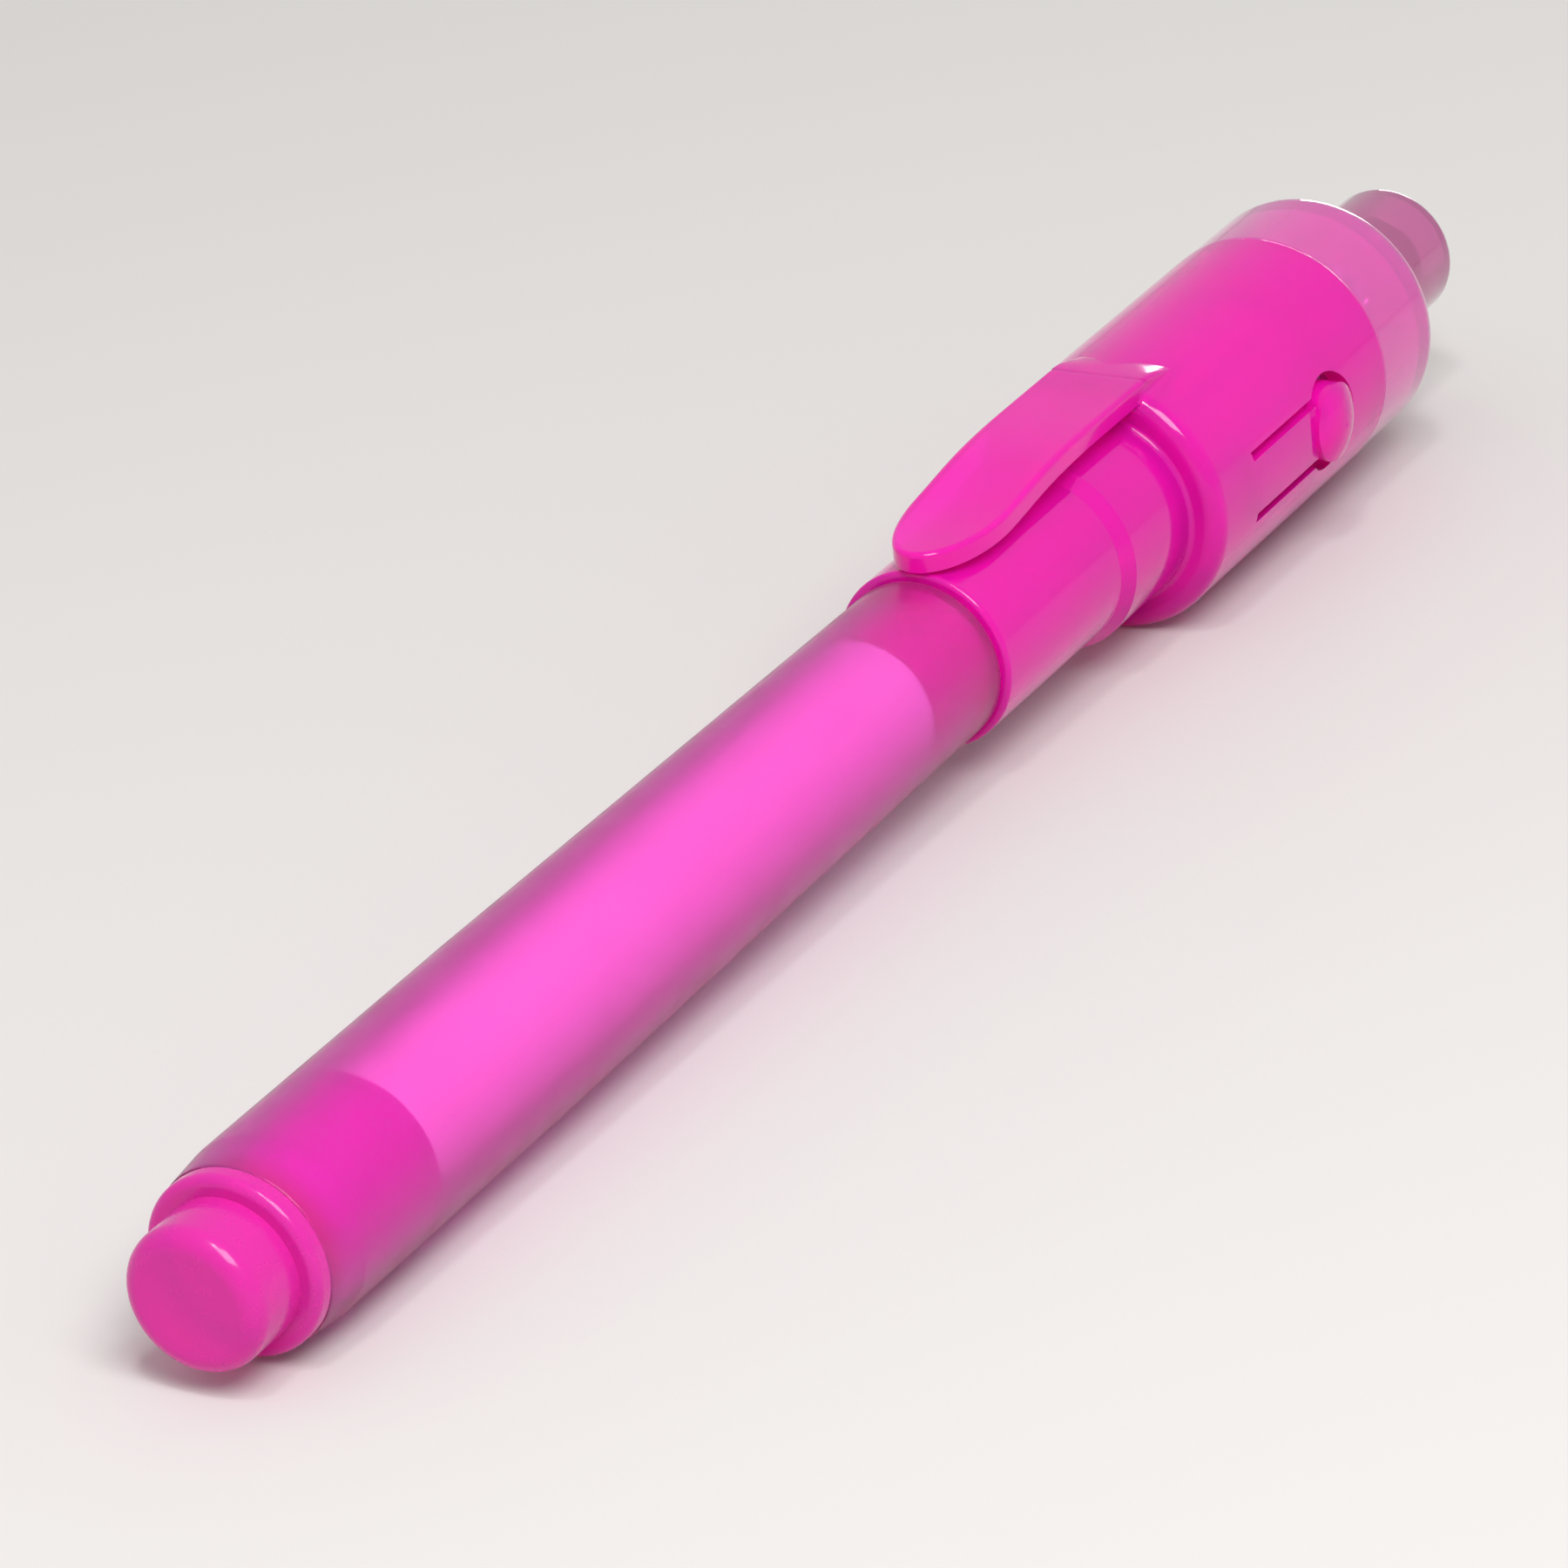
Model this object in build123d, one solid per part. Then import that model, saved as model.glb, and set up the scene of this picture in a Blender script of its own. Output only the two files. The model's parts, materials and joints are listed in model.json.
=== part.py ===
from build123d import *
import math
import os

# A translucent felt-tip pen with invisible ink and a UV lamp in its cap, lying capped on its side.
# Millimetres. While it is being built the pen's axis is the X axis, the tail's end face is at x = 0,
# the lamp is towards +X and the clip is on top (+Z). The finished pen is moved so that its origin is
# under the middle of its length, on the surface that it lies on.

# Small clearances between pieces
PRESS_CLEAR = 0.03       # radial, between a pressed plug or spigot and its bore
SLIDE_CLEAR = 0.05       # radial, between pieces that are pulled apart by hand
SEAT_CLEAR = 0.02        # between faces that rest on each other
HINGE_CLEAR = 0.10       # around the root of a springing tongue or blade
CONTACT_CLEAR = 0.05     # left between the switch's contacts when the button is fully pressed

# Tail plug
TAIL_NOSE_LENGTH = 3.7
TAIL_NOSE_R = 3.75
TAIL_NOSE_ROUND = 1.0
TAIL_FLANGE_THICKNESS = 1.05
TAIL_FLANGE_DROP = 0.05  # flange's edge below the barrel's rear edge
TAIL_FLANGE_ROUND = 0.5
TAIL_SPIGOT_LENGTH = 10.3
TAIL_SPIGOT_WALL = 1.0
TAIL_FLOOR = 1.2         # between the nose's hollow side and the flange's outer face

# Barrel
BARREL_LENGTH = 67.6
BARREL_R = 5.03
BARREL_WALL = 0.90
BARREL_REAR_DROP = 0.26  # how much smaller the rear edge is than the straight stretch
BARREL_LEAD_LENGTH = 2.6
BARREL_STRAIGHT_LENGTH = 22.0
BARREL_FRONT_DROP = 0.34 # the taper, from the straight stretch to the front edge
BARREL_EDGE_ROUND = 0.2

# Ink reservoir
RESERVOIR_GAP = 0.20     # radial, to the barrel's bore at its narrow end
RESERVOIR_FILM = 0.12

# Front section and nib
FRONT_SPIGOT_LENGTH = 6.2
FRONT_SPIGOT_WALL = 0.95
NECK_STEP = 0.54         # neck's surface below the barrel's front edge
NECK_LENGTH = 9.2
CONE_LENGTH = 6.8
TIP_TUBE_LENGTH = 1.2
TIP_TUBE_R = 1.6
NIB_R = 0.9
NIB_POINT_R = 0.35
NIB_SHOWING = 2.6
NIB_POINT_LENGTH = 1.2
NIB_IN_RESERVOIR = 4.0

# Cap shell: sleeve, collar and lamp housing
CAP_SEAT_GAP = 0.10      # between the barrel's front edge and the cap's mouth
SLEEVE_LENGTH = 13.2
SLEEVE_WALL = 0.90
SLEEVE_EDGE_ROUND = 0.3
COLLAR_STEP = 0.50
COLLAR_FLARE_LENGTH = 0.9
COLLAR_LENGTH = 7.5
SHOULDER_FILLET = 0.3    # in the corner between the collar and the housing's end face
SHOULDER_ROUND = 1.0
HOUSING_LENGTH = 21.6
HOUSING_WALL = 1.10
HOUSING_EDGE_ROUND = 0.15
PARTITION_THICKNESS = 1.5
PARTITION_DEPTH = 0.3    # how far the nib's side of the partition lies inside the housing

# Clip
CLIP_HALF_WIDTH = 2.9
CLIP_THICKNESS = 1.10
CLIP_RISE = 0.05         # top of its root above the housing
CLIP_ROOT_INSET = 0.85   # from the housing's end face to the line where the clip bends
CLIP_ROOT_LENGTH = 4.6   # the root behind that line, which runs out on the housing
CLIP_ROOT_FLAT = 0.5     # its level stretch
CLIP_ROOT_SINK = 0.15    # its far end below the housing's surface
CLIP_ROOT_SECTIONS = 6
CLIP_CROWN_POINTS = 9    # across the top of each section
CLIP_FLAT_LENGTH = 6.0   # straight stretch from the bend line towards the tip
CLIP_OVERHANG = 0.35     # tip past the cap's mouth
CLIP_TIP_GAP = 0.15      # tip's underside above the sleeve
CLIP_TIP_LENGTH = 6.2    # the rounded, narrowing end
CLIP_EDGE_ROUND = 0.3

# Button, a keyhole-shaped tongue in the housing's wall
BUTTON_ANGLE = 90.0      # degrees round the axis from the clip
BUTTON_TRAVEL = 4.5      # degrees
BUTTON_ROOT_INSET = 5.7  # from the housing's end face to the line where the tongue bends
BUTTON_REACH = 8.8       # from that line to the boss
BUTTON_STEM_HALF_WIDTH = 1.55
BUTTON_BOSS_R = 2.25
BUTTON_BOSS_RISE = 0.25  # boss's edge above the housing
BUTTON_DOME = 0.65
BUTTON_BOSS_ROOT = 0.28  # boss's foot above the housing's bore
BUTTON_SLOT = 0.55
BUTTON_PIP_R = 0.8
BUTTON_KNUCKLE_MARGIN = 0.22

# Button cells, a common standard size
CELL_COUNT = 3
CELL_R = 3.95
CELL_THICKNESS = 3.6
CELL_CAP_R = 2.95
CELL_CAP_RISE = 0.5      # cap above the can's rolled edge
CELL_CAP_THICKNESS = 0.85
CELL_GASKET_WIDTH = 0.4
CELL_CLEAR = 0.10        # radial, in the carrier

# Battery carrier and contacts
CARRIER_WALL = 0.80
CARRIER_BLOCK_LENGTH = 5.9
CARRIER_FLAT_INSET = 0.9
CARRIER_RIB_COUNT = 3
CARRIER_RIB_WIDTH = 1.0
CARRIER_RIB_LENGTH = 12.5
LEAD_HOLE_R = 0.45
STRIP_THICKNESS = 0.25
STRIP_HALF_WIDTH = 1.0
STRIP_TAIL = 2.5         # the strip's reach past the cells' centre
FINGER_ROOT_AHEAD = 0.10 # finger's bend line ahead of the button's
FINGER_LIP = 2.3         # finger past the boss's centre, over the lamp's lead
FINGER_HEADROOM = 0.45   # from the finger to the housing's bore

# Lamp, a common 5 mm LED
LED_R = 2.5
LED_LENGTH = 8.6
LED_FLANGE_R = 2.9
LED_FLANGE_THICKNESS = 1.0
LED_RECESS = 0.9         # dome's tip inside the nose's end
LEAD_SIDE = 0.5
LEAD_PITCH = 2.54
LEAD_CLEAR = 1.2         # from the carrier's block to the cathode lead's outward bend

# Head
HEAD_STEP = 0.05
HEAD_SKIRT_LENGTH = 7.6
HEAD_SHOULDER_ROUND = 1.7
HEAD_SHOULDER_WALL = 1.2
HEAD_SPIGOT_GAP = 0.7    # from the contact finger's tip to the spigot
HEAD_SPIGOT_WALL = 0.80
NOSE_LENGTH = 9.6
NOSE_WALL = 1.55
NOSE_TAPER = 0.12
NOSE_END_ROUND = 0.8
NOSE_FILLET = 0.3

# Stations along the pen, from the tail's end face
x_flange = TAIL_NOSE_LENGTH
x_barrel = x_flange + TAIL_FLANGE_THICKNESS + SEAT_CLEAR
x_barrel_end = x_barrel + BARREL_LENGTH
x_straight = x_barrel + BARREL_LEAD_LENGTH
x_taper = x_straight + BARREL_STRAIGHT_LENGTH
x_spigot_end = x_barrel + TAIL_SPIGOT_LENGTH
x_front = x_barrel_end - FRONT_SPIGOT_LENGTH
x_neck = x_barrel_end + SEAT_CLEAR
x_cone = x_neck + NECK_LENGTH
x_tip_tube = x_cone + CONE_LENGTH
x_tip_end = x_tip_tube + TIP_TUBE_LENGTH
x_nib_tip = x_tip_end + NIB_SHOWING
x_mouth = x_barrel_end + CAP_SEAT_GAP
x_collar = x_mouth + SLEEVE_LENGTH
x_housing = x_collar + COLLAR_LENGTH
x_seam = x_housing + HOUSING_LENGTH
x_partition = x_housing + PARTITION_DEPTH
x_cavity = x_partition + PARTITION_THICKNESS
x_head = x_seam + SLIDE_CLEAR
x_shoulder = x_head + HEAD_SKIRT_LENGTH
x_lamp_end = x_shoulder + NOSE_LENGTH
x_led_tip = x_lamp_end - LED_RECESS
x_led = x_led_tip - LED_LENGTH
x_strip = x_cavity + SEAT_CLEAR
x_carrier = x_strip + STRIP_THICKNESS + SEAT_CLEAR
cell_pitch = CELL_THICKNESS + SEAT_CLEAR
x_cells_end = x_carrier + CELL_COUNT * cell_pitch
x_block = x_cells_end + LEAD_SIDE + 2 * SEAT_CLEAR
x_block_end = x_block + CARRIER_BLOCK_LENGTH
x_flat = x_block + CARRIER_FLAT_INSET
x_clip_bend = x_housing + CLIP_ROOT_INSET
x_clip_tip = x_mouth - CLIP_OVERHANG
x_button_bend = x_housing + BUTTON_ROOT_INSET
x_boss = x_button_bend + BUTTON_REACH
x_finger_bend = x_button_bend + FINGER_ROOT_AHEAD
x_finger_tip = x_boss + FINGER_LIP

# Radii, worked out from the inside of the pen to the outside
barrel_rear_r = BARREL_R - BARREL_REAR_DROP
barrel_front_r = BARREL_R - BARREL_FRONT_DROP
barrel_bore_rear_r = BARREL_R - BARREL_WALL
barrel_bore_front_r = barrel_front_r - BARREL_WALL
flange_r = barrel_rear_r - TAIL_FLANGE_DROP
tail_spigot_r = barrel_bore_rear_r - PRESS_CLEAR
reservoir_r = barrel_bore_front_r - RESERVOIR_GAP
reservoir_core_r = reservoir_r - RESERVOIR_FILM - SEAT_CLEAR
front_spigot_r = barrel_bore_front_r - PRESS_CLEAR
front_bore_r = front_spigot_r - FRONT_SPIGOT_WALL
neck_r = barrel_front_r - NECK_STEP
sleeve_bore_r = neck_r + SLIDE_CLEAR
sleeve_r = sleeve_bore_r + SLEEVE_WALL
collar_r = sleeve_r + COLLAR_STEP
nib_bore_r = NIB_R + PRESS_CLEAR
carrier_bore_r = CELL_R + CELL_CLEAR
carrier_r = carrier_bore_r + CARRIER_WALL
press_slope = math.tan(math.radians(BUTTON_TRAVEL))
finger_low = carrier_r + (x_flat - x_finger_bend) * press_slope + 2 * CONTACT_CLEAR
finger_top = finger_low + STRIP_THICKNESS
finger_mid = (finger_low + finger_top) / 2
housing_bore_r = finger_top + FINGER_HEADROOM
housing_r = housing_bore_r + HOUSING_WALL
housing_mid_r = (housing_bore_r + housing_r) / 2
head_r = housing_r - HEAD_STEP
head_spigot_r = housing_bore_r - SLIDE_CLEAR
head_bore_r = head_spigot_r - HEAD_SPIGOT_WALL
nose_bore_r = LED_R + SLIDE_CLEAR
nose_seat_r = LED_FLANGE_R + SLIDE_CLEAR
nose_r = nose_bore_r + NOSE_WALL
lead_top = finger_low - (x_finger_tip - x_finger_bend) * press_slope - CONTACT_CLEAR
lead_low = lead_top - LEAD_SIDE
clip_root_top = housing_r + CLIP_RISE
clip_bend_z = clip_root_top - CLIP_THICKNESS / 2
clip_tip_low = sleeve_r + CLIP_TIP_GAP
knuckle_r = HOUSING_WALL / 2 + BUTTON_KNUCKLE_MARGIN

AXIS_HEIGHT = housing_r


def outline(corners):
    """A closed flat face through corners (u, v) or (u, v, radius), with each corner rounded by its radius."""
    points = [Vector(c[0], c[1]) for c in corners]
    rounds = [c[2] if len(c) > 2 else 0.0 for c in corners]
    edges = []
    leaving = []
    entering = []
    for i, corner in enumerate(points):
        back = (points[i - 1] - corner).normalized()
        ahead = (points[(i + 1) % len(points)] - corner).normalized()
        if rounds[i] > 0:
            half = math.radians(back.get_angle(ahead)) / 2
            reach = rounds[i] / math.tan(half)
            centre = corner + (back + ahead).normalized() * (rounds[i] / math.sin(half))
            middle = centre + (corner - centre).normalized() * rounds[i]
            entering.append(corner + back * reach)
            leaving.append(corner + ahead * reach)
            edges.append(ThreePointArc(entering[i], middle, leaving[i]))
        else:
            entering.append(corner)
            leaving.append(corner)
    for i, start in enumerate(leaving):
        edges.append(Line(start, entering[(i + 1) % len(points)]))
    return make_face(edges)


def turned(corners):
    """A solid of revolution about the pen's axis, from corners (x, radius) or (x, radius, rounding)."""
    return revolve(outline(corners), Axis.X)


def rod(x0, x1, radius):
    """A round bar on the pen's axis."""
    return Pos((x0 + x1) / 2, 0, 0) * Rot(0, 90, 0) * Cylinder(radius, x1 - x0)


def block(x0, x1, y0, y1, z0, z1):
    """A box between two corners."""
    return Pos((x0 + x1) / 2, (y0 + y1) / 2, (z0 + z1) / 2) * Box(x1 - x0, y1 - y0, z1 - z0)


def cross_bar(x, z, radius, half_width):
    """A round bar across the pen, along Y."""
    return Pos(x, 0, z) * Rot(90, 0, 0) * Cylinder(radius, 2 * half_width)


def button_side(solid):
    """Turns a piece that was built under +Z to the button's place round the axis."""
    return Rot(BUTTON_ANGLE, 0, 0) * solid


def make_tail_plug():
    hollow_x = x_flange + TAIL_FLOOR
    return turned([
        (0, 0), (0, TAIL_NOSE_R, TAIL_NOSE_ROUND), (x_flange, TAIL_NOSE_R),
        (x_flange, flange_r, TAIL_FLANGE_ROUND), (x_flange + TAIL_FLANGE_THICKNESS, flange_r),
        (x_flange + TAIL_FLANGE_THICKNESS, tail_spigot_r), (x_spigot_end, tail_spigot_r),
        (x_spigot_end, tail_spigot_r - TAIL_SPIGOT_WALL), (hollow_x, tail_spigot_r - TAIL_SPIGOT_WALL),
        (hollow_x, 0),
    ])


def make_barrel():
    return turned([
        (x_barrel, barrel_bore_rear_r), (x_barrel, barrel_rear_r, BARREL_EDGE_ROUND), (x_straight, BARREL_R),
        (x_taper, BARREL_R), (x_barrel_end, barrel_front_r, BARREL_EDGE_ROUND),
        (x_barrel_end, barrel_bore_front_r), (x_taper, barrel_bore_rear_r),
    ])


def make_reservoir_wrap():
    x0 = x_spigot_end + SEAT_CLEAR
    x1 = x_front - SEAT_CLEAR
    return rod(x0, x1, reservoir_r) - rod(x0, x1, reservoir_r - RESERVOIR_FILM)


def make_reservoir_core():
    x0 = x_spigot_end + SEAT_CLEAR
    x1 = x_front - SEAT_CLEAR
    return rod(x0, x1, reservoir_core_r) - rod(x1 - NIB_IN_RESERVOIR - SEAT_CLEAR, x1, nib_bore_r)


def make_front_section():
    return turned([
        (x_front, front_bore_r), (x_front, front_spigot_r), (x_neck, front_spigot_r), (x_neck, neck_r),
        (x_cone, neck_r), (x_tip_tube, TIP_TUBE_R), (x_tip_end, TIP_TUBE_R), (x_tip_end, nib_bore_r),
        (x_cone, nib_bore_r), (x_cone, front_bore_r),
    ])


def make_nib():
    rear = x_front - SEAT_CLEAR - NIB_IN_RESERVOIR
    return turned([
        (rear, 0), (rear, NIB_R), (x_nib_tip - NIB_POINT_LENGTH, NIB_R), (x_nib_tip, NIB_POINT_R),
        (x_nib_tip, 0),
    ])


def button_plan(margin):
    """The button's keyhole outline seen from outside, grown by a margin."""
    half = BUTTON_STEM_HALF_WIDTH + margin
    stem = Pos((x_button_bend + x_boss) / 2, 0) * Rectangle(x_boss - x_button_bend, 2 * half)
    return stem + Pos(x_boss, 0) * Circle(BUTTON_BOSS_R + margin)


def button_prism(margin, low, high):
    """The keyhole outline as a prism that stands on the pen's axis, from one height to another."""
    return Pos(0, 0, low) * extrude(button_plan(margin), high - low)


def clip_side():
    """The clip's blade seen from the side."""
    low = clip_root_top - CLIP_THICKNESS
    tip_top = clip_tip_low + CLIP_THICKNESS
    x_bow = x_clip_bend - CLIP_FLAT_LENGTH
    x_pull = (x_bow + x_clip_tip) / 2
    edges = [
        Line((x_clip_bend, low), (x_clip_bend, clip_root_top)),
        Line((x_clip_bend, clip_root_top), (x_bow, clip_root_top)),
        Bezier((x_bow, clip_root_top), (x_pull, clip_root_top), (x_pull, tip_top), (x_clip_tip, tip_top)),
        Line((x_clip_tip, tip_top), (x_clip_tip, clip_tip_low)),
        Bezier((x_clip_tip, clip_tip_low), (x_pull, clip_tip_low), (x_pull, low), (x_bow, low)),
        Line((x_bow, low), (x_clip_bend, low)),
    ]
    return make_face(edges)


def make_clip():
    width = 2 * CLIP_HALF_WIDTH
    blade = extrude(Plane.XZ * clip_side(), CLIP_HALF_WIDTH, both=True)
    x_round = x_clip_tip + CLIP_TIP_LENGTH
    plan = Pos((x_round + x_clip_bend) / 2, 0) * Rectangle(x_clip_bend - x_round, width)
    plan += Pos(x_round, 0) * Ellipse(CLIP_TIP_LENGTH, CLIP_HALF_WIDTH)
    blade &= extrude(plan, clip_root_top + CLIP_THICKNESS)
    long_edges = blade.edges().filter_by(Axis.X).group_by(Axis.Z)[-1]
    blade = fillet(long_edges, CLIP_EDGE_ROUND)
    bar = cross_bar(x_clip_bend, clip_bend_z, CLIP_THICKNESS / 2, CLIP_HALF_WIDTH)
    return blade + fillet(bar.edges().filter_by(GeomType.CIRCLE), CLIP_EDGE_ROUND)


def clip_root_section(x, level):
    """A section of the clip's root at x: its top is flat at level 1, and sunk in the housing at level 0."""
    def top(y):
        wall = math.sqrt(housing_r ** 2 - y ** 2) - CLIP_ROOT_SINK
        return wall + (clip_root_top - wall) * level

    half = CLIP_HALF_WIDTH
    y_round = half - CLIP_EDGE_ROUND
    side_low = clip_root_top - CLIP_THICKNESS
    side_top = top(half) - CLIP_EDGE_ROUND
    crown = [y_round * (1 - 2 * i / (CLIP_CROWN_POINTS - 1)) for i in range(CLIP_CROWN_POINTS)]
    edges = [
        Line((half, side_low), (half, side_top)),
        Bezier((half, side_top), (half, top(half)), (y_round, top(y_round))),
        Spline(*[(y, top(y)) for y in crown]),
        Bezier((-y_round, top(y_round)), (-half, top(half)), (-half, side_top)),
        Line((-half, side_top), (-half, side_low)),
        Line((-half, side_low), (half, side_low)),
    ]
    return Plane.YZ.offset(x) * make_face(edges)


def clip_root():
    """The clip's root: level with the blade at first, then eased down into the housing."""
    x_flat = x_clip_bend + CLIP_ROOT_FLAT
    run_out = CLIP_ROOT_LENGTH - CLIP_ROOT_FLAT
    sections = []
    for i in range(CLIP_ROOT_SECTIONS):
        along = i / (CLIP_ROOT_SECTIONS - 1)
        eased = (1 + math.cos(math.pi * along)) / 2
        sections.append(clip_root_section(x_flat + run_out * along, eased))
    flat = extrude(clip_root_section(x_clip_bend, 1), CLIP_ROOT_FLAT)
    return flat + loft(sections)


def make_cap_shell():
    shell = turned([
        (x_mouth, sleeve_bore_r), (x_mouth, sleeve_r, SLEEVE_EDGE_ROUND), (x_collar, sleeve_r),
        (x_collar + COLLAR_FLARE_LENGTH, collar_r), (x_housing, collar_r, SHOULDER_FILLET),
        (x_housing, housing_r, SHOULDER_ROUND), (x_seam, housing_r, HOUSING_EDGE_ROUND),
        (x_seam, housing_bore_r), (x_cavity, housing_bore_r), (x_cavity, 0),
        (x_partition, 0), (x_partition, sleeve_bore_r),
    ])
    # The clip's root, and the notch that the blade bends in
    shell += clip_root()
    root_low = clip_root_top - CLIP_THICKNESS
    notch_half = CLIP_HALF_WIDTH + HINGE_CLEAR
    notch_top = clip_root_top + CLIP_THICKNESS
    shell -= block(x_collar, x_clip_bend, -notch_half, notch_half, root_low - HINGE_CLEAR, notch_top)
    shell -= cross_bar(x_clip_bend, clip_bend_z, CLIP_THICKNESS / 2 + HINGE_CLEAR, notch_half)
    # The slot round the button
    slot = button_prism(BUTTON_SLOT, carrier_r, housing_r + HOUSING_WALL)
    slot_half = BUTTON_STEM_HALF_WIDTH + BUTTON_SLOT
    slot += cross_bar(x_button_bend, housing_mid_r, knuckle_r + HINGE_CLEAR, slot_half)
    return shell - button_side(slot)


def make_button():
    wall = rod(x_housing, x_seam, housing_r) - rod(x_housing, x_seam, housing_bore_r)
    tongue = wall & button_prism(0, 0, housing_r)
    tongue += wall & cross_bar(x_button_bend, housing_mid_r, knuckle_r, BUTTON_STEM_HALF_WIDTH)
    boss_edge = housing_r + BUTTON_BOSS_RISE
    dome_r = (BUTTON_BOSS_R ** 2 + BUTTON_DOME ** 2) / (2 * BUTTON_DOME)
    boss_low = housing_bore_r + BUTTON_BOSS_ROOT
    boss = Pos(x_boss, 0, boss_low) * Cylinder(
        BUTTON_BOSS_R, boss_edge + BUTTON_DOME - boss_low, align=(Align.CENTER, Align.CENTER, Align.MIN))
    boss &= Pos(x_boss, 0, boss_edge + BUTTON_DOME - dome_r) * Sphere(dome_r)
    pip_low = finger_top + CONTACT_CLEAR
    pip = Pos(x_boss, 0, pip_low) * Cylinder(
        BUTTON_PIP_R, housing_mid_r - pip_low, align=(Align.CENTER, Align.CENTER, Align.MIN))
    return button_side(tongue + boss + pip)


def make_battery_carrier():
    tube = rod(x_carrier, x_block_end, carrier_r) - rod(x_carrier, x_block, carrier_bore_r)
    for i in range(CARRIER_RIB_COUNT):
        rib = block(
            x_carrier, x_carrier + CARRIER_RIB_LENGTH, -CARRIER_RIB_WIDTH / 2, CARRIER_RIB_WIDTH / 2,
            carrier_r - CARRIER_WALL / 2, housing_bore_r - PRESS_CLEAR - SEAT_CLEAR)
        tube += Rot(360 * (i + 0.5) / CARRIER_RIB_COUNT, 0, 0) * rib
    tube -= block(x_flat, x_block_end, -carrier_r, carrier_r, lead_low - SEAT_CLEAR, carrier_r)
    hole = rod(x_block, x_block_end, LEAD_HOLE_R)
    return button_side(tube - Pos(0, 0, -LEAD_PITCH / 2) * hole)


def make_cell(x):
    """One button cell, minus side at x: its can, gasket and cap."""
    x_rim = x + CELL_CAP_RISE
    x_floor = x + CELL_CAP_THICKNESS + SEAT_CLEAR
    gasket_r = CELL_CAP_R + CELL_GASKET_WIDTH
    can = rod(x_rim, x + CELL_THICKNESS, CELL_R) - rod(x_rim, x_floor, gasket_r + SEAT_CLEAR)
    gasket = rod(x_rim, x_floor - SEAT_CLEAR, gasket_r) - rod(x_rim, x_floor, CELL_CAP_R + SEAT_CLEAR)
    cap = rod(x, x_floor - SEAT_CLEAR, CELL_CAP_R)
    return can, gasket, cap


def make_contact_strip():
    half = STRIP_HALF_WIDTH
    strip = block(x_strip, x_strip + STRIP_THICKNESS, -half, half, -STRIP_TAIL, finger_top)
    x_end = x_finger_bend - STRIP_THICKNESS / 2 - CONTACT_CLEAR
    strip += block(x_strip, x_end, -half, half, finger_low, finger_top)
    return button_side(strip)


def make_contact_finger():
    half = STRIP_HALF_WIDTH
    finger = block(x_finger_bend, x_finger_tip, -half, half, finger_low, finger_top)
    return button_side(finger + cross_bar(x_finger_bend, finger_mid, STRIP_THICKNESS / 2, half))


def make_led_lamp():
    dome_x = x_led_tip - LED_R
    body = rod(x_led, dome_x, LED_R) + Pos(dome_x, 0, 0) * Sphere(LED_R)
    return body + rod(x_led, x_led + LED_FLANGE_THICKNESS, LED_FLANGE_R)


def make_anode_lead():
    """From the lamp straight to the cells' plus face, then across it."""
    side = LEAD_SIDE / 2
    level = -LEAD_PITCH / 2
    x_touch = x_cells_end + SEAT_CLEAR
    lead = block(x_touch, x_led - SEAT_CLEAR, -side, side, level - side, level + side)
    lead += block(x_touch, x_touch + LEAD_SIDE, -side, side, level - side, LEAD_PITCH)
    return button_side(lead)


def make_cathode_lead():
    """From the lamp back to the carrier, out to its flat, and along the flat under the contact finger."""
    side = LEAD_SIDE / 2
    level = LEAD_PITCH / 2
    x_bend = x_block_end + LEAD_CLEAR
    lead = block(x_bend, x_led - SEAT_CLEAR, -side, side, level - side, level + side)
    lead += block(x_bend, x_bend + LEAD_SIDE, -side, side, level - side, lead_top)
    lead += block(x_flat + LEAD_SIDE, x_bend + LEAD_SIDE, -side, side, lead_low, lead_top)
    return button_side(lead)


def make_head():
    x_spigot = x_finger_tip + HEAD_SPIGOT_GAP
    x_wall = x_shoulder - HEAD_SHOULDER_WALL
    x_seat = x_led + LED_FLANGE_THICKNESS + SEAT_CLEAR
    return turned([
        (x_spigot, head_bore_r), (x_spigot, head_spigot_r), (x_head, head_spigot_r),
        (x_head, head_r, HOUSING_EDGE_ROUND), (x_shoulder, head_r, HEAD_SHOULDER_ROUND),
        (x_shoulder, nose_r, NOSE_FILLET), (x_lamp_end, nose_r - NOSE_TAPER, NOSE_END_ROUND),
        (x_lamp_end, nose_bore_r), (x_seat, nose_bore_r), (x_seat, nose_seat_r), (x_wall, nose_seat_r),
        (x_wall, head_bore_r),
    ])


def make_pen():
    """All the pieces of the pen by name."""
    pieces = {
        "tail_plug": make_tail_plug(),
        "barrel": make_barrel(),
        "reservoir_wrap": make_reservoir_wrap(),
        "reservoir_core": make_reservoir_core(),
        "front_section": make_front_section(),
        "nib": make_nib(),
        "cap_shell": make_cap_shell(),
        "clip": make_clip(),
        "button": make_button(),
        "battery_carrier": make_battery_carrier(),
        "contact_strip": make_contact_strip(),
        "contact_finger": make_contact_finger(),
        "led_lamp": make_led_lamp(),
        "led_anode_lead": make_anode_lead(),
        "led_cathode_lead": make_cathode_lead(),
        "head": make_head(),
    }
    for i in range(CELL_COUNT):
        can, gasket, cap = make_cell(x_carrier + i * cell_pitch)
        pieces[f"cell_can_{i + 1}"] = can
        pieces[f"cell_gasket_{i + 1}"] = gasket
        pieces[f"cell_cap_{i + 1}"] = cap
    return pieces


os.makedirs("parts", exist_ok=True)
for name, piece in make_pen().items():
    export_step(Pos(-x_lamp_end / 2, 0, AXIS_HEIGHT) * piece, f"parts/{name}.step")

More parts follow.
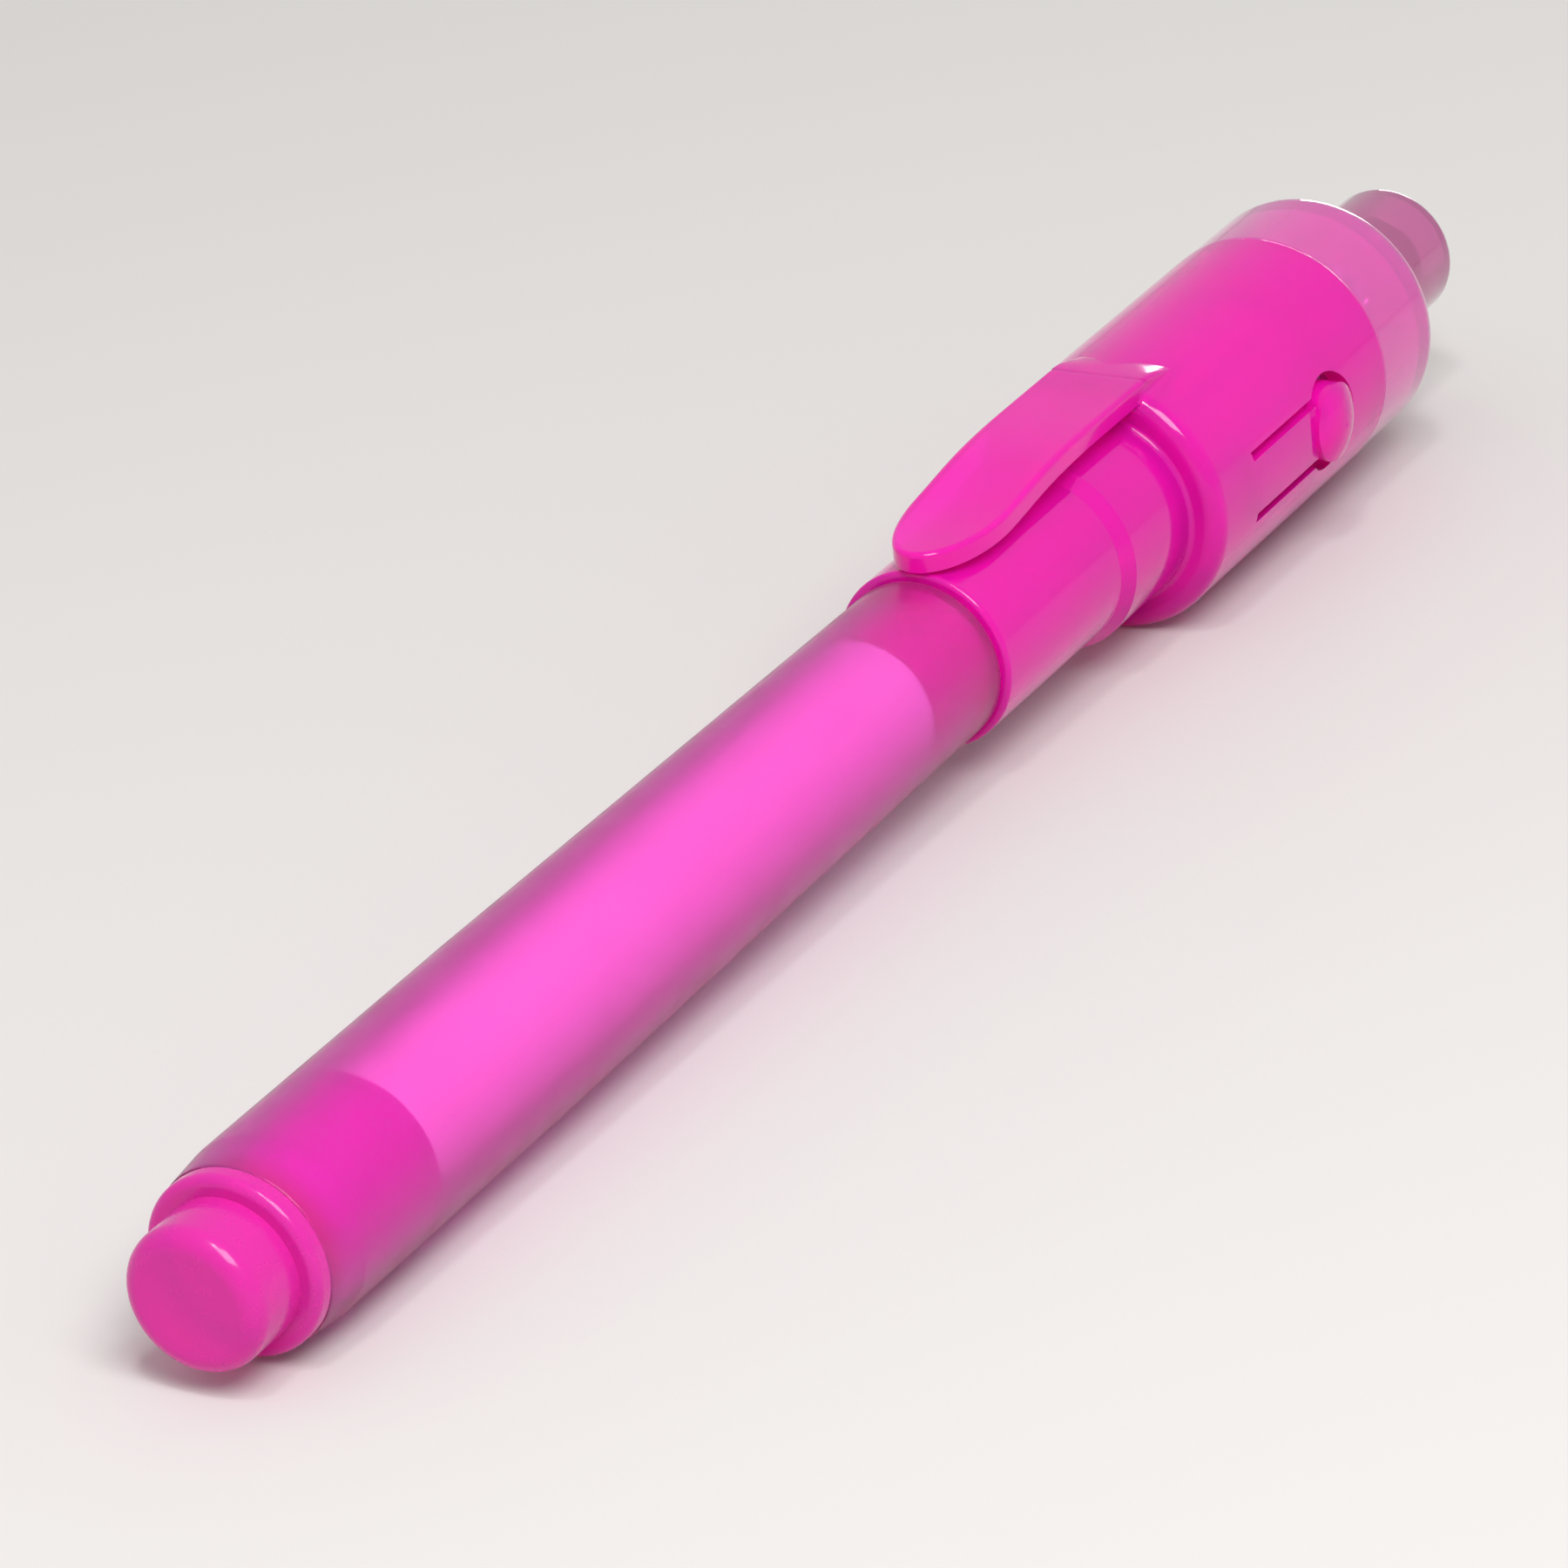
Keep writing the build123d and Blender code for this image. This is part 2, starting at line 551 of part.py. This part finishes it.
print(f"length {x_lamp_end:.2f}, housing radius {housing_r:.3f}, housing bore {housing_bore_r:.3f}")
print(f"button bend at x {x_button_bend - x_lamp_end / 2:.3f}, radius {housing_mid_r:.3f}")
print(f"finger bend at x {x_finger_bend - x_lamp_end / 2:.3f}, radius {finger_mid:.3f}")
print(f"clip bend at x {x_clip_bend - x_lamp_end / 2:.3f}, z {clip_bend_z + AXIS_HEIGHT:.3f}")
rear_low = x_straight - x_lamp_end / 2
rear_high = x_taper - x_lamp_end / 2
print(f"straight barrel from x {rear_low:.3f} to {rear_high:.3f}, z {AXIS_HEIGHT:.3f}")
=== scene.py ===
"""Looks of a translucent pink felt-tip pen that lies capped on its side, with a UV lamp in its cap.

Metres, or millimetres where that is said. The pen's axis runs along X from its tail to its lamp, with the
clip on top and the button at -Y.
"""
import json
import math

import bmesh
import bpy
from mathutils import Matrix, Vector


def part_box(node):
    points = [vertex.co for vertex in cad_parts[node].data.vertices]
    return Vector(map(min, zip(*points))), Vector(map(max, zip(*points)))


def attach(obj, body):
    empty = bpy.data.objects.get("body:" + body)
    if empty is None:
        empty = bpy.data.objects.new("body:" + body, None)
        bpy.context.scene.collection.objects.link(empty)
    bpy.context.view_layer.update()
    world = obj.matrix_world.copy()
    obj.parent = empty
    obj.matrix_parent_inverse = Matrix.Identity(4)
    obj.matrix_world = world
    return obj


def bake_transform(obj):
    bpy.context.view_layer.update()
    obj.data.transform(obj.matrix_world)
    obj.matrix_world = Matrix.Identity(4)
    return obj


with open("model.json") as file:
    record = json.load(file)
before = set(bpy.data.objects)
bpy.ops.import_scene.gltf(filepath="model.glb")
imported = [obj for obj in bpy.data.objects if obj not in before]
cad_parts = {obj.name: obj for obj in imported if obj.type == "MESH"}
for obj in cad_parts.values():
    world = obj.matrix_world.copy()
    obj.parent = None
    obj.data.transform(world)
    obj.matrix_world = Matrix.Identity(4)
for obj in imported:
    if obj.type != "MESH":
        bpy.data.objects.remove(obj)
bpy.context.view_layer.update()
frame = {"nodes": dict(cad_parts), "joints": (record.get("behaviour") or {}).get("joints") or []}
nodes = frame["nodes"]
MM = 0.001
MICRON = 0.001 * MM

# Camera: where it stands, what it is pointed at, how far it leans, and its lens on a 36 mm sensor
CAMERA_PLACE = Vector((-316.0, -185.2, 176.7)) * MM
CAMERA_AIM = Vector((-9.0, 0.0, 7.4)) * MM
CAMERA_ROLL = math.radians(-6.0)
CAMERA_LENS = 178.0
CAMERA_CLIP = (0.01, 20.0)

# Light: a wide softbox over the camera's side, a small one overhead for the edge lights, a faint low one
# behind the lamp end for its rim, and an even pale room
KEY_PLACE = Vector((-240.0, -290.0, 480.0)) * MM
KEY_SIZE = 280 * MM
KEY_POWER = 2.7
SPARK_PLACE = Vector((-190.0, -110.0, 540.0)) * MM
SPARK_SIZE = 70 * MM
SPARK_POWER = 0.55
RIM_PLACE = Vector((520.0, 150.0, 40.0)) * MM
RIM_SIZE = 130 * MM
RIM_POWER = 0.25
ROOM_COLOUR = "#F4F2F1"
ROOM_STRENGTH = 0.65
FLOOR_COLOUR = "#D2D0CE"
FLOOR_SIZE = 6.0


def linear(code):
    """An sRGB hex code as a linear colour with full alpha."""
    parts = [int(code[i:i + 2], 16) / 255 for i in (1, 3, 5)]
    return [*(c / 12.92 if c <= 0.04045 else ((c + 0.055) / 1.055) ** 2.4 for c in parts), 1.0]


def add(tree, kind, inputs=None, **settings):
    """A new node, with its settings, and with each named input set to a value or linked from a socket."""
    made = tree.nodes.new(kind)
    for name, value in settings.items():
        setattr(made, name, value)
    for name, value in (inputs or {}).items():
        if isinstance(value, bpy.types.NodeSocket):
            tree.links.new(value, made.inputs[name])
        else:
            made.inputs[name].default_value = value
    return made


def new_material(name):
    """An empty node material, with its tree and its Object coordinates."""
    material = bpy.data.materials.new(name)
    material.use_nodes = True
    material.node_tree.nodes.clear()
    where = add(material.node_tree, "ShaderNodeTexCoord").outputs["Object"]
    return material, material.node_tree, where


def per_metre(size_mm):
    """A texture's scale for a pattern of that size."""
    return 1 / (size_mm * MM)


# Sockets of a colour mix, whose names are shared with its other kinds
MIX_FROM, MIX_TO, MIX_RESULT = 6, 7, 2

# Moulded plastics: the size of their clouds of pigment and of the patches that handling has dulled, and the
# stretch of the noise over which the gloss goes
CLOUD_MM = 9.0
RUB_MM = 1.6
RUB_FROM, RUB_TO = 0.35, 0.7


def moulded_plastic(name, pale, deep, roughness, wear, ripple_mm, ripple_um, sockets,
                    dye=None, dye_per_mm=0.0, shade_span_mm=None):
    """Moulded plastic: pigment that clouds from pale to deep, or else changes over a stretch along the pen as
    painted shade, a surface that is never quite flat, and a dye that deepens the colour with the thickness
    looked through."""
    material, tree, where = new_material(name)
    # Over the given stretch the pigment goes from pale to deep along the pen: painted shade, not a change in
    # the plastic
    if shade_span_mm:
        along = add(tree, "ShaderNodeSeparateXYZ", {"Vector": where}).outputs["X"]
        mixed = add(tree, "ShaderNodeMapRange", {
            "Value": along, "From Min": shade_span_mm[0] * MM, "From Max": shade_span_mm[1] * MM}).outputs["Result"]
    else:
        mixed = add(tree, "ShaderNodeTexNoise", {
            "Vector": where, "Scale": per_metre(CLOUD_MM), "Detail": 2.0}).outputs["Fac"]
    pigment = add(tree, "ShaderNodeMix", {
        "Factor": mixed, MIX_FROM: linear(pale), MIX_TO: linear(deep)}, data_type="RGBA")
    rub = add(tree, "ShaderNodeTexNoise", {"Vector": where, "Scale": per_metre(RUB_MM), "Detail": 5.0})
    rough = add(tree, "ShaderNodeMapRange", {
        "Value": rub.outputs["Fac"], "From Min": RUB_FROM, "From Max": RUB_TO,
        "To Min": roughness, "To Max": roughness + wear})
    ripple = add(tree, "ShaderNodeTexNoise", {"Vector": where, "Scale": per_metre(ripple_mm), "Detail": 1.0})
    bump = add(tree, "ShaderNodeBump", {
        "Height": ripple.outputs["Fac"], "Strength": 1.0, "Distance": ripple_um * MICRON})
    shader = add(tree, "ShaderNodeBsdfPrincipled", {
        "Base Color": pigment.outputs[MIX_RESULT], "Roughness": rough.outputs["Result"],
        "Normal": bump.outputs["Normal"], **sockets})
    output = add(tree, "ShaderNodeOutputMaterial", {"Surface": shader.outputs["BSDF"]})
    if dye:
        depth = add(tree, "ShaderNodeVolumeAbsorption", {"Color": linear(dye), "Density": dye_per_mm / MM})
        tree.links.new(depth.outputs["Volume"], output.inputs["Volume"])
    return material


# Stretches along the pen, in millimetres, over which the tail plug and the head change to a painted shade on
# their noses
PLUG_SHADE_SPAN = (-60.4, -59.0)
HEAD_SHADE_SPAN = (56.2, 57.6)

# The pink plastics' IOR is matched to how they look together, and lies below the resins' own 1.49 and 1.59

# Polypropylene, moulded with a satin skin: clear enough to show the ink rod, with soft broad highlights
satin_polypropylene = moulded_plastic(
    "satin_pink_polypropylene", "#FFC0F4", "#FFB4EE", 0.30, 0.10, 2.2, 3.0,
    {"IOR": 1.2, "Transmission Weight": 0.98, "Coat Weight": 0.25, "Coat Roughness": 0.14}, "#FF5CEC", 0.42)

# The same resin in the front section, a little more mauve
section_polypropylene = moulded_plastic(
    "mauve_polypropylene_section", "#FF3CE0", "#FF30D6", 0.20, 0.12, 1.8, 4.0,
    {"IOR": 1.2, "Transmission Weight": 0.38, "Coat Weight": 0.4, "Coat Roughness": 0.14}, "#FF60E6", 0.3)

# And in the tail plug, with painted shade that colours its nose and flange deeper than its spigot
plug_polypropylene_painted_shade = moulded_plastic(
    "mauve_polypropylene_plug_painted_shade", "#F030B8", "#FF20EE", 0.20, 0.12, 1.8, 4.0,
    {"IOR": 1.2, "Transmission Weight": 0.38, "Coat Weight": 0.4, "Coat Roughness": 0.14}, "#FF60E6", 0.3,
    PLUG_SHADE_SPAN)

# Polystyrene, moulded glossy and more heavily coloured: sharp edge lights over a deep pink body
glossy_polystyrene = moulded_plastic(
    "glossy_pink_polystyrene", "#FF1AD0", "#FF0EC6", 0.10, 0.08, 2.6, 2.5,
    {"IOR": 1.2, "Transmission Weight": 0.55, "Coat Weight": 0.45, "Coat Roughness": 0.05}, "#FF5CE6", 0.3)

# Crystal polystyrene with little dye: paler and clearer than the cap, just as glossy, with painted shade that
# makes it greyer over the lamp
crystal_polystyrene_painted_shade = moulded_plastic(
    "crystal_pink_polystyrene_painted_shade", "#FF70DC", "#D070AC", 0.08, 0.06, 3.0, 2.0,
    {"IOR": 1.3, "Transmission Weight": 0.6, "Coat Weight": 0.9, "Coat Roughness": 0.03}, "#FF68DC", 0.25,
    HEAD_SHADE_SPAN)

# Clear epoxy, cast: the lamp's own lens
clear_epoxy = moulded_plastic(
    "cast_clear_epoxy", "#F6F4FC", "#EEECF8", 0.04, 0.04, 4.0, 1.0,
    {"IOR": 1.54, "Transmission Weight": 0.95})


# How far a pattern is drawn out along the pen: fibres, film, and drawn or rolled metal, or not at all
FIBRE_STRETCH = (0.03, 1.0, 1.0)
FILM_STRETCH = (0.02, 1.0, 1.0)
DRAWN_STRETCH = (0.05, 1.0, 1.0)
NO_STRETCH = (1.0, 1.0, 1.0)
STRAND_RELIEF = 0.3      # height of a strand, as a share of its width
FILM_LINE_MM = 0.9
GRAIN_SMOOTHER, GRAIN_ROUGHER = 0.08, 0.12


def fibre_bundle(name, light, dark, strand_mm, roughness):
    """Bonded fibres that run along the pen: fine lengthwise lines and a dry, woolly face."""
    material, tree, where = new_material(name)
    along = add(tree, "ShaderNodeMapping", {"Vector": where, "Scale": FIBRE_STRETCH})
    strands = add(tree, "ShaderNodeTexNoise", {
        "Vector": along.outputs["Vector"], "Scale": per_metre(strand_mm), "Detail": 3.0})
    shade = add(tree, "ShaderNodeMix", {
        "Factor": strands.outputs["Fac"], MIX_FROM: linear(light), MIX_TO: linear(dark)}, data_type="RGBA")
    bump = add(tree, "ShaderNodeBump", {
        "Height": strands.outputs["Fac"], "Strength": 0.8, "Distance": strand_mm * MM * STRAND_RELIEF})
    shader = add(tree, "ShaderNodeBsdfPrincipled", {
        "Base Color": shade.outputs[MIX_RESULT], "Roughness": roughness, "Normal": bump.outputs["Normal"],
        "Sheen Weight": 0.3, "Sheen Roughness": 0.5})
    add(tree, "ShaderNodeOutputMaterial", {"Surface": shader.outputs["BSDF"]})
    return material


# White acrylic fibre, drawn through a die: the wick that holds the ink
acrylic_wick = fibre_bundle("drawn_acrylic_wick", "#FFFDFE", "#F1E7EE", 0.25, 0.85)

# Bonded polyester fibre, ground to a point
polyester_nib = fibre_bundle("ground_polyester_nib", "#FBF9F4", "#E6E1D8", 0.15, 0.8)


def polyester_film():
    """Extruded film round the wick: milky, smooth, with faint lengthwise draw lines."""
    material, tree, where = new_material("milky_polyester_film")
    along = add(tree, "ShaderNodeMapping", {"Vector": where, "Scale": FILM_STRETCH})
    lines = add(tree, "ShaderNodeTexNoise", {
        "Vector": along.outputs["Vector"], "Scale": per_metre(FILM_LINE_MM), "Detail": 3.0})
    tint = add(tree, "ShaderNodeMix", {
        "Factor": lines.outputs["Fac"], MIX_FROM: linear("#FFFFFF"), MIX_TO: linear("#F6EEF4")},
        data_type="RGBA")
    shader = add(tree, "ShaderNodeBsdfPrincipled", {
        "Base Color": tint.outputs[MIX_RESULT], "Roughness": 0.3, "IOR": 1.5})
    add(tree, "ShaderNodeOutputMaterial", {"Surface": shader.outputs["BSDF"]})
    return material


film = polyester_film()


def metal(name, light, dark, roughness, grain_mm, stretch):
    """Plated metal: a grain that is drawn out by stretch along each axis, in tone and in roughness."""
    material, tree, where = new_material(name)
    along = add(tree, "ShaderNodeMapping", {"Vector": where, "Scale": stretch})
    grain = add(tree, "ShaderNodeTexNoise", {
        "Vector": along.outputs["Vector"], "Scale": per_metre(grain_mm), "Detail": 4.0})
    tone = add(tree, "ShaderNodeMix", {
        "Factor": grain.outputs["Fac"], MIX_FROM: linear(light), MIX_TO: linear(dark)}, data_type="RGBA")
    rough = add(tree, "ShaderNodeMapRange", {
        "Value": grain.outputs["Fac"],
        "To Min": roughness - GRAIN_SMOOTHER, "To Max": roughness + GRAIN_ROUGHER})
    shader = add(tree, "ShaderNodeBsdfPrincipled", {
        "Base Color": tone.outputs[MIX_RESULT], "Roughness": rough.outputs["Result"], "Metallic": 1.0})
    add(tree, "ShaderNodeOutputMaterial", {"Surface": shader.outputs["BSDF"]})
    return material


# Pressed steel with nickel plate, tumbled: cool grey, softly mirrored
nickel_steel = metal("nickel_plated_cell_steel", "#D5D5D3", "#B4B3B0", 0.28, 0.6, NO_STRETCH)
# Tinned steel wire, drawn: lengthwise lines
tinned_wire = metal("tinned_lead_wire", "#D0D1D4", "#A9AAAE", 0.3, 0.2, DRAWN_STRETCH)
# Rolled spring bronze with thin nickel: warm grey with rolling lines
spring_bronze = metal("plated_spring_bronze", "#DCCFAE", "#B5A37C", 0.3, 0.2, DRAWN_STRETCH)

# Grown nitride chip: small, violet and glassy
lamp_chip = moulded_plastic("violet_nitride_chip", "#8C7CC8", "#7A6AB8", 0.15, 0.05, 0.2, 1.0, {"IOR": 2.3})

# Undyed ABS, moulded matt: the carrier, white and slightly chalky
natural_abs = moulded_plastic(
    "natural_white_abs", "#F2F0EC", "#E6E3DD", 0.45, 0.2, 0.5, 6.0, {"IOR": 1.53})
# Black nylon, moulded: the cells' insulating rings
black_nylon = moulded_plastic(
    "black_nylon_gasket", "#26262A", "#1C1C20", 0.5, 0.2, 0.4, 5.0, {"IOR": 1.53})

finishes = {
    "barrel": satin_polypropylene,
    "tail_plug": plug_polypropylene_painted_shade,
    "front_section": section_polypropylene,
    "reservoir_wrap": film,
    "reservoir_core": acrylic_wick,
    "nib": polyester_nib,
    "cap_shell": glossy_polystyrene,
    "clip": glossy_polystyrene,
    "button": glossy_polystyrene,
    "head": crystal_polystyrene_painted_shade,
    "battery_carrier": natural_abs,
    "contact_strip": spring_bronze,
    "contact_finger": spring_bronze,
    "led_lamp": clear_epoxy,
    "led_anode_lead": tinned_wire,
    "led_cathode_lead": tinned_wire,
}
for name, node in nodes.items():
    if name.startswith("cell_gasket"):
        node.data.materials[0] = black_nylon
    elif name.startswith("cell_"):
        node.data.materials[0] = nickel_steel
    else:
        node.data.materials[0] = finishes[name]


def smooth(value):
    """An eased step from 0 to 1."""
    held = min(max(value, 0.0), 1.0)
    return held * held * (3 - 2 * held)


def arc(centre, radius, start, end, count=6):
    """Points of a circle's arc between two angles in degrees."""
    turns = [math.radians(start + (end - start) * i / (count - 1)) for i in range(count)]
    return [(centre[0] + radius * math.cos(a), centre[1] + radius * math.sin(a)) for a in turns]


CREASE = math.radians(40)      # edges that turn more than this stay sharp


def loft(name, rings, material):
    """A closed solid through a row of rings, in millimetres, that have the same number of points."""
    count = len(rings[0])
    faces = [tuple(range(count)), tuple(range((len(rings) - 1) * count, len(rings) * count))]
    for i in range(len(rings) - 1):
        for j in range(count):
            near, far = i * count, (i + 1) * count
            after = (j + 1) % count
            faces.append((near + j, near + after, far + after, far + j))
    mesh = bpy.data.meshes.new(name)
    mesh.from_pydata([Vector(point) * MM for ring in rings for point in ring], [], faces)
    shape = bmesh.new()
    shape.from_mesh(mesh)
    bmesh.ops.recalc_face_normals(shape, faces=shape.faces)
    shape.to_mesh(mesh)
    shape.free()
    mesh.shade_smooth()
    mesh.set_sharp_from_angle(angle=CREASE)
    mesh.materials.append(material)
    piece = bpy.data.objects.new(name, mesh)
    bpy.context.scene.collection.objects.link(piece)
    return piece


# Roots of the clip and the button, where one moulding bends: millimetres from the line that each bends along
ROOT_SINK = 0.005        # a root's skin below the walls that it fills the gap between
CLIP_ROOT_FROM = -0.8
CLIP_ROOT_FLAT = 0.5     # where the root starts to ease down
CLIP_ROOT_TO = 4.6       # where it has run out in the housing
CLIP_ROOT_DIP = 0.15     # its far end below the housing's surface
CLIP_ROOT_DEPTH = 0.9    # its foot below the blade's top, where it starts
CLIP_FOOT_FROM = -0.75   # where its foot starts to settle on the housing
CLIP_SETTLE = 0.6        # how long that takes
CLIP_FILLET = 0.45       # along its foot
CLIP_EDGE_ROUND = 0.3
CLIP_EDGE_END = 60       # degrees of that rounding
CLIP_CROWN_STEPS = 8
SHOULDER_INSET = 0.85    # housing's end face
SHOULDER_ROUND = 1.0
BUTTON_BEND = (-1.0, -0.2)
STEM_HALF_WIDTH = 1.55
STEM_ARC_POINTS = 9
ROOT_STEPS = 40

hinges = {joint["name"]: Vector(joint["pos_m"]) / MM for joint in frame["joints"] if "pos_m" in joint}
axis_z = sum(corner.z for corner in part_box("barrel")) / 2 / MM
housing_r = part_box("cap_shell")[1].y / MM


def steps(start, end, count):
    """Evenly spaced values with both ends."""
    return [start + (end - start) * i / count for i in range(count + 1)]


def round_height(radius, y):
    """Height of a round wall above the pen's axis, at y."""
    return math.sqrt(radius ** 2 - y ** 2)


def clip_root():
    """The clip's root: level with the blade, eased down into the housing, with a fillet along its foot."""
    hinge = hinges["clip_flex"]
    clip_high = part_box("clip")[1] / MM
    half = clip_high.y - ROOT_SINK
    blade_top = clip_high.z - axis_z - ROOT_SINK

    def top(y, level):
        sunk = round_height(housing_r, y) - CLIP_ROOT_DIP - ROOT_SINK
        return sunk + (blade_top - sunk) * level

    rings = []
    for along in steps(CLIP_ROOT_FROM, CLIP_ROOT_TO, ROOT_STEPS):
        run_out = max(0.0, (along - CLIP_ROOT_FLAT) / (CLIP_ROOT_TO - CLIP_ROOT_FLAT))
        level = (1 + math.cos(math.pi * run_out)) / 2
        side_top = top(half, level)
        from_face = min(along + SHOULDER_INSET, SHOULDER_ROUND)
        wall_r = housing_r - SHOULDER_ROUND + round_height(SHOULDER_ROUND, SHOULDER_ROUND - from_face)
        settled = smooth((along - CLIP_FOOT_FROM) / CLIP_SETTLE)
        fillet = min(CLIP_FILLET * settled, max(0.0, side_top - round_height(wall_r, half))) + ROOT_SINK
        wall = round_height(wall_r, half + fillet) - ROOT_SINK
        foot = wall * settled + (blade_top - CLIP_ROOT_DEPTH) * (1 - settled)
        corner = min(CLIP_EDGE_ROUND, max(side_top - foot - fillet, ROOT_SINK))
        side = [(half + fillet, foot - CLIP_EDGE_ROUND)]
        side += arc((half + fillet, foot + fillet), fillet, 270, 180)
        side += arc((half - corner, side_top - corner), corner, 0, CLIP_EDGE_END)
        side += [(y, top(y, level)) for y in steps(half - corner, 0.0, CLIP_CROWN_STEPS)]
        section = side + [(-y, z) for y, z in reversed(side[:-1])]
        rings.append([(hinge.x + along, y, axis_z + z) for y, z in section])
    bend_root("clip_root", rings)


def button_root():
    """The button's root: the stretch of the housing's wall where the tongue bends."""
    hinge = hinges["button_press"]
    outer_r = housing_r - ROOT_SINK
    inner_r = -2 * hinge.y - outer_r
    section = []
    for radius, sign in ((outer_r, 1), (inner_r, -1)):
        swing = sign * math.degrees(math.asin((STEM_HALF_WIDTH - ROOT_SINK) / radius))
        section += arc((0, axis_z), radius, 180 + swing, 180 - swing, STEM_ARC_POINTS)
    rings = [[(hinge.x + along, y, z) for y, z in section] for along in steps(*BUTTON_BEND, ROOT_STEPS)]
    bend_root("button_root", rings)


def bend_root(name, rings):
    """A root in the cap's plastic, lofted in the cap's finish and left fixed where it stands."""
    piece = loft(name, rings, glossy_polystyrene)
    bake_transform(piece)


# Lamp's lead frame, cast in the epoxy: outlines in millimetres, along the pen from the lamp's base, and across
ANVIL = [(0.2, -1.52), (3.6, -1.52), (4.4, -0.75), (4.4, 0.75),
         (4.0, 0.75), (2.6, -0.55), (2.0, -1.02), (0.2, -1.02)]
POST = [(0.2, 1.02), (2.3, 1.02), (2.9, 0.35), (3.6, 1.0), (4.9, 1.3), (4.9, 1.55), (0.2, 1.52)]
FRAME_THICKNESS = 0.4
CUP = [(4.4, 0.72), (5.3, 1.0), (5.3, 0.88), (4.75, 0.42)]
CUP_SIDES = 32
DIE_FROM, DIE_TO, DIE_HALF = 4.75, 4.95, 0.17


def lamp_frame():
    """The lamp's two posts, the reflector cup on one of them, and the die in the cup."""
    base_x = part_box("led_lamp")[0].x / MM
    half = FRAME_THICKNESS / 2
    for name, outline in (("lamp_anvil", ANVIL), ("lamp_post", POST)):
        rings = [[(base_x + x, y, axis_z + z) for x, y in outline] for z in (-half, half)]
        fit_lamp(loft(name, rings, tinned_wire))
    circle = arc((0, 0), 1, 0, 360 - 360 / CUP_SIDES, CUP_SIDES)
    rings = [[(base_x + x, y * r, axis_z + z * r) for y, z in circle] for x, r in CUP]
    fit_lamp(loft("lamp_cup", rings, tinned_wire))
    square = [(y * DIE_HALF, z * DIE_HALF) for y, z in ((-1, -1), (1, -1), (1, 1), (-1, 1))]
    rings = [[(base_x + x, y, axis_z + z) for y, z in square] for x in (DIE_FROM, DIE_TO)]
    fit_lamp(loft("lamp_die", rings, lamp_chip))


def fit_lamp(piece):
    """A piece of the lamp moves with the cap."""
    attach(piece, "cap")


clip_root()
button_root()
lamp_frame()


def make_floor():
    """A pale matt sheet that touches the housing and the rear of the barrel."""
    barrel_low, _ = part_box("barrel")
    shell_low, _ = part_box("cap_shell")
    rise = barrel_low.z - shell_low.z
    housing_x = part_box("battery_carrier")[0].x
    tilt = math.atan2(rise, housing_x - barrel_low.x)
    half = FLOOR_SIZE / 2
    corners = [(-half, -half, 0), (half, -half, 0), (half, half, 0), (-half, half, 0)]
    place = Matrix.Translation((housing_x, 0, shell_low.z)) @ Matrix.Rotation(tilt, 4, "Y")
    mesh = bpy.data.meshes.new("floor")
    mesh.from_pydata([place @ Vector(c) for c in corners], [], [(0, 1, 2, 3)])
    floor = bpy.data.objects.new("floor", mesh)
    bpy.context.scene.collection.objects.link(floor)
    material, tree, _ = new_material("pale_matt_floor")
    shader = add(tree, "ShaderNodeBsdfPrincipled", {"Base Color": linear(FLOOR_COLOUR), "Roughness": 0.9})
    add(tree, "ShaderNodeOutputMaterial", {"Surface": shader.outputs["BSDF"]})
    mesh.materials.append(material)


def make_room():
    """An even pale room that lights the pen from all sides."""
    world = bpy.data.worlds.new("room")
    bpy.context.scene.world = world
    world.use_nodes = True
    world.node_tree.nodes.clear()
    air = add(world.node_tree, "ShaderNodeBackground", {
        "Color": linear(ROOM_COLOUR), "Strength": ROOM_STRENGTH})
    add(world.node_tree, "ShaderNodeOutputWorld", {"Surface": air.outputs["Background"]})


def make_softbox(name, place, size, power):
    """A square area lamp that faces the middle of the pen."""
    lamp = bpy.data.lights.new(name, "AREA")
    lamp.size = size
    lamp.energy = power
    holder = bpy.data.objects.new(name, lamp)
    holder.location = place
    holder.rotation_euler = (CAMERA_AIM - place).to_track_quat("-Z", "Y").to_euler()
    bpy.context.scene.collection.objects.link(holder)


def make_camera():
    """The photograph's point of view, with a longer lens so that the pen fills the picture."""
    camera = bpy.data.objects.new("camera", bpy.data.cameras.new("camera"))
    camera.data.lens = CAMERA_LENS
    camera.data.clip_start, camera.data.clip_end = CAMERA_CLIP
    turn = (CAMERA_AIM - CAMERA_PLACE).to_track_quat("-Z", "Y").to_matrix().to_4x4()
    camera.matrix_world = Matrix.Translation(CAMERA_PLACE) @ turn @ Matrix.Rotation(CAMERA_ROLL, 4, "Z")
    bpy.context.scene.collection.objects.link(camera)
    bpy.context.scene.camera = camera


make_floor()
make_room()
make_softbox("key_softbox", KEY_PLACE, KEY_SIZE, KEY_POWER)
make_softbox("spark_softbox", SPARK_PLACE, SPARK_SIZE, SPARK_POWER)
make_softbox("rim_softbox", RIM_PLACE, RIM_SIZE, RIM_POWER)
make_camera()
bpy.context.scene.view_settings.view_transform = "Standard"
